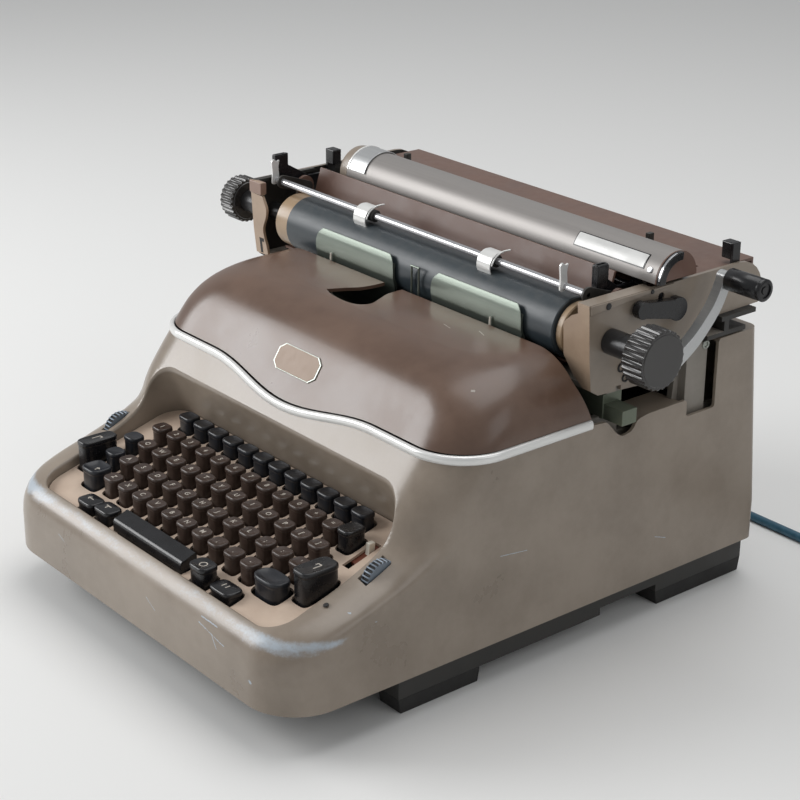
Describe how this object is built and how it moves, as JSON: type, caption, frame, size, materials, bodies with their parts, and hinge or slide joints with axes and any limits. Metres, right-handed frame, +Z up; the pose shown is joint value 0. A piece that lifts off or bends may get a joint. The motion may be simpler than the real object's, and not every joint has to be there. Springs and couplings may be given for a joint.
{
  "type": "electric typewriter",
  "caption": "Electric typewriter with a hinged top cover over a wavy trim, a keyboard in a round-cornered well and a sliding carriage with platen, paper bail and return lever.",
  "frame": {"origin": "middle of the machine's footprint box without its cord, on the table under the feet", "axes": "+X to the operator's right, +Y to the rear, +Z up"},
  "size_m": [0.607, 0.6136, 0.2799],
  "materials": {
    "housing": "satin taupe paint",
    "cover": "satin brown paint",
    "trim": "polished",
    "plate": "beige paint",
    "dark_metal": "dark paint",
    "steel": "bare steel",
    "rubber": "matt",
    "platen": "matt",
    "brown_key": "gloss",
    "black_plastic": "gloss",
    "knob": "satin",
    "white_plastic": "gloss",
    "chrome": "polished",
    "aluminium": "satin",
    "table": "brown paint",
    "motor": "painted",
    "cord": "satin",
    "plug": "satin"
  },
  "bodies": {
    "chassis": {"base_frame": "dark_metal", "rubber_feet": "rubber", "main_housing": "housing", "keyboard_plate": "plate", "trim_strip": "trim", "side_frames": "steel", "ribbon_deck": "dark_metal", "type_basket": "steel", "card_guides": "steel", "drive_motor": "motor", "drive_belt": "rubber", "strain_relief": "plug", "power_cord": "cord", "cord_coil": "cord", "power_plug": "plug"},
    "cover": {"top_cover": "cover"},
    "spool_left": {"ribbon_spool_left": "black_plastic"},
    "spool_right": {"ribbon_spool_right": "black_plastic"},
    "pulley": {"motor_pulley": "steel"},
    "roller": {"power_roller": "rubber"},
    "switch": {"power_switch": "white_plastic"},
    "thumb_left": {"thumb_wheel_left": "steel"},
    "thumb_right": {"thumb_wheel_right": "steel"},
    "carriage": {"carriage_bed": "dark_metal", "left_end_plate": "housing", "right_end_plate": "housing", "paper_table": "table", "paper_rail": "aluminium"},
    "platen": {"platen_rubber": "platen", "platen_shaft": "steel", "platen_knob_left": "knob", "platen_knob_right": "knob"},
    "bail": {"paper_bail": "chrome"},
    "bail_wheel_left": {"bail_roller_left": "rubber"},
    "bail_wheel_right": {"bail_roller_right": "rubber"},
    "lever": {"return_lever": "aluminium", "lever_handle": "black_plastic"},
    "release": {"paper_release": "black_plastic"},
    "catch_left": {"carriage_release_left": "black_plastic"},
    "catch_right": {"carriage_release_right": "black_plastic"},
    "selector": {"line_selector": "black_plastic"},
    "stop_left": {"margin_stop_left": "dark_metal"},
    "stop_right": {"margin_stop_right": "dark_metal"},
    "guide": {"paper_guide": "chrome"},
    "bottom_row": {"bottom_row_keys": "brown_key"},
    "home_row": {"home_row_keys": "brown_key"},
    "upper_row": {"upper_row_keys": "brown_key"},
    "number_row": {"number_row_keys": "brown_key"},
    "function_row": {"function_keys": "black_plastic"},
    "side_pair": {"side_keys": "black_plastic"},
    "tall_number": {"tall_key": "black_plastic"},
    "shift_left": {"shift_key_left": "black_plastic"},
    "shift_right": {"shift_key_right": "black_plastic"},
    "lock_left": {"lock_key_left": "black_plastic"},
    "lock_right": {"lock_key_right": "black_plastic"},
    "tab_pair": {"tab_keys": "black_plastic"},
    "ring": {"ring_key": "black_plastic"},
    "end": {"end_key": "black_plastic"},
    "space": {"space_bar": "black_plastic"}
  },
  "joints": [
    {"name": "cover_hinge", "type": "hinge", "parent": "chassis", "child": "cover", "pos_m": [0.0195, -0.09075, 0.1612], "axis": [1, 0, 0], "range_deg": [0, 88]},
    {"name": "spool_left_turn", "type": "hinge", "parent": "chassis", "child": "spool_left", "pos_m": [-0.0755, -0.008, 0.195], "axis": [0, 0, 1], "continuous": true},
    {"name": "spool_right_turn", "type": "hinge", "parent": "chassis", "child": "spool_right", "pos_m": [0.1145, -0.008, 0.195], "axis": [0, 0, 1], "continuous": true},
    {"name": "motor_turn", "type": "hinge", "parent": "chassis", "child": "pulley", "pos_m": [0.1245, 0.13, 0.085], "axis": [1, 0, 0], "continuous": true},
    {"name": "roller_turn", "type": "hinge", "parent": "chassis", "child": "roller", "pos_m": [0.0195, 0.03, 0.07], "axis": [1, 0, 0], "continuous": true},
    {"name": "switch_slide", "type": "slide", "parent": "chassis", "child": "switch", "axis": [0, 0.9604, 0.2785], "range_m": [-0.012, 0]},
    {"name": "thumb_left_turn", "type": "hinge", "parent": "chassis", "child": "thumb_left", "pos_m": [-0.1375, -0.127, 0.099], "axis": [1, 0, 0], "range_deg": [-135, 135]},
    {"name": "thumb_right_turn", "type": "hinge", "parent": "chassis", "child": "thumb_right", "pos_m": [0.1765, -0.127, 0.099], "axis": [1, 0, 0], "range_deg": [-135, 135]},
    {"name": "carriage_slide", "type": "slide", "parent": "chassis", "child": "carriage", "axis": [1, 0, 0], "range_m": [-0.109, 0.151]},
    {"name": "platen_turn", "type": "hinge", "parent": "carriage", "child": "platen", "pos_m": [-0.0015, 0.058, 0.225], "axis": [1, 0, 0], "continuous": true},
    {"name": "bail_lift", "type": "hinge", "parent": "carriage", "child": "bail", "pos_m": [-0.0015, 0.08, 0.245], "axis": [1, 0, 0], "range_deg": [-30, 0]},
    {"name": "bail_wheel_left_turn", "type": "hinge", "parent": "bail", "child": "bail_wheel_left", "pos_m": [-0.068, 0.055, 0.253], "axis": [1, 0, 0], "continuous": true},
    {"name": "bail_wheel_right_turn", "type": "hinge", "parent": "bail", "child": "bail_wheel_right", "pos_m": [0.0635, 0.055, 0.253], "axis": [1, 0, 0], "continuous": true},
    {"name": "return_lever_pull", "type": "hinge", "parent": "carriage", "child": "lever", "pos_m": [0.1985, 0.087, 0.196], "axis": [1, 0, 0], "range_deg": [0, 40], "stiffness_Nm_per_rad": 0.6, "springref_deg": -17.19},
    {"name": "paper_release_pull", "type": "hinge", "parent": "carriage", "child": "release", "pos_m": [-0.0015, 0.106, 0.246], "axis": [1, 0, 0], "range_deg": [0, 12], "stiffness_Nm_per_rad": 1, "springref_deg": -17.19},
    {"name": "catch_left_pull", "type": "hinge", "parent": "carriage", "child": "catch_left", "pos_m": [-0.1905, 0.115, 0.236], "axis": [1, 0, 0], "range_deg": [-12, 0], "stiffness_Nm_per_rad": 0.05, "springref_deg": 11.46},
    {"name": "catch_right_pull", "type": "hinge", "parent": "carriage", "child": "catch_right", "pos_m": [0.1875, 0.185, 0.236], "axis": [1, 0, 0], "range_deg": [-12, 0], "stiffness_Nm_per_rad": 0.05, "springref_deg": 11.46},
    {"name": "selector_turn", "type": "hinge", "parent": "carriage", "child": "selector", "pos_m": [0.1955, 0.116, 0.237], "axis": [1, 0, 0], "range_deg": [-20, 20]},
    {"name": "stop_left_slide", "type": "slide", "parent": "carriage", "child": "stop_left", "axis": [1, 0, 0], "range_m": [-0.026, 0.12]},
    {"name": "stop_right_slide", "type": "slide", "parent": "carriage", "child": "stop_right", "axis": [1, 0, 0], "range_m": [-0.1, 0.036]},
    {"name": "guide_slide", "type": "slide", "parent": "carriage", "child": "guide", "axis": [1, 0, 0], "range_m": [-0.004, 0.12]},
    {"name": "bottom_row_press", "type": "slide", "parent": "chassis", "child": "bottom_row", "axis": [0, 0, -1], "range_m": [0, 0.0045], "stiffness_N_per_m": 600, "springref_m": -0.002},
    {"name": "home_row_press", "type": "slide", "parent": "chassis", "child": "home_row", "axis": [0, 0, -1], "range_m": [0, 0.0045], "stiffness_N_per_m": 600, "springref_m": -0.002},
    {"name": "upper_row_press", "type": "slide", "parent": "chassis", "child": "upper_row", "axis": [0, 0, -1], "range_m": [0, 0.0045], "stiffness_N_per_m": 600, "springref_m": -0.002},
    {"name": "number_row_press", "type": "slide", "parent": "chassis", "child": "number_row", "axis": [0, 0, -1], "range_m": [0, 0.0045], "stiffness_N_per_m": 600, "springref_m": -0.002},
    {"name": "function_row_press", "type": "slide", "parent": "chassis", "child": "function_row", "axis": [0, 0, -1], "range_m": [0, 0.0045], "stiffness_N_per_m": 600, "springref_m": -0.002},
    {"name": "side_pair_press", "type": "slide", "parent": "chassis", "child": "side_pair", "axis": [0, 0, -1], "range_m": [0, 0.0045], "stiffness_N_per_m": 600, "springref_m": -0.002},
    {"name": "tall_number_press", "type": "slide", "parent": "chassis", "child": "tall_number", "axis": [0, 0, -1], "range_m": [0, 0.0045], "stiffness_N_per_m": 600, "springref_m": -0.002},
    {"name": "shift_left_press", "type": "slide", "parent": "chassis", "child": "shift_left", "axis": [0, 0, -1], "range_m": [0, 0.0045], "stiffness_N_per_m": 600, "springref_m": -0.002},
    {"name": "shift_right_press", "type": "slide", "parent": "chassis", "child": "shift_right", "axis": [0, 0, -1], "range_m": [0, 0.0045], "stiffness_N_per_m": 600, "springref_m": -0.002},
    {"name": "lock_left_press", "type": "slide", "parent": "chassis", "child": "lock_left", "axis": [0, 0, -1], "range_m": [0, 0.0045], "stiffness_N_per_m": 600, "springref_m": -0.002},
    {"name": "lock_right_press", "type": "slide", "parent": "chassis", "child": "lock_right", "axis": [0, 0, -1], "range_m": [0, 0.0045], "stiffness_N_per_m": 600, "springref_m": -0.002},
    {"name": "tab_pair_press", "type": "slide", "parent": "chassis", "child": "tab_pair", "axis": [0, 0, -1], "range_m": [0, 0.0045], "stiffness_N_per_m": 600, "springref_m": -0.002},
    {"name": "ring_press", "type": "slide", "parent": "chassis", "child": "ring", "axis": [0, 0, -1], "range_m": [0, 0.0045], "stiffness_N_per_m": 600, "springref_m": -0.002},
    {"name": "end_press", "type": "slide", "parent": "chassis", "child": "end", "axis": [0, 0, -1], "range_m": [0, 0.0045], "stiffness_N_per_m": 600, "springref_m": -0.002},
    {"name": "space_press", "type": "slide", "parent": "chassis", "child": "space", "axis": [0, 0, -1], "range_m": [0, 0.0045], "stiffness_N_per_m": 600, "springref_m": -0.002}
  ],
  "couplings": [
    {"joint": "roller_turn", "follows": "motor_turn", "ratio": 0.5},
    {"joint": "spool_right_turn", "follows": "spool_left_turn", "ratio": 1}
  ]
}
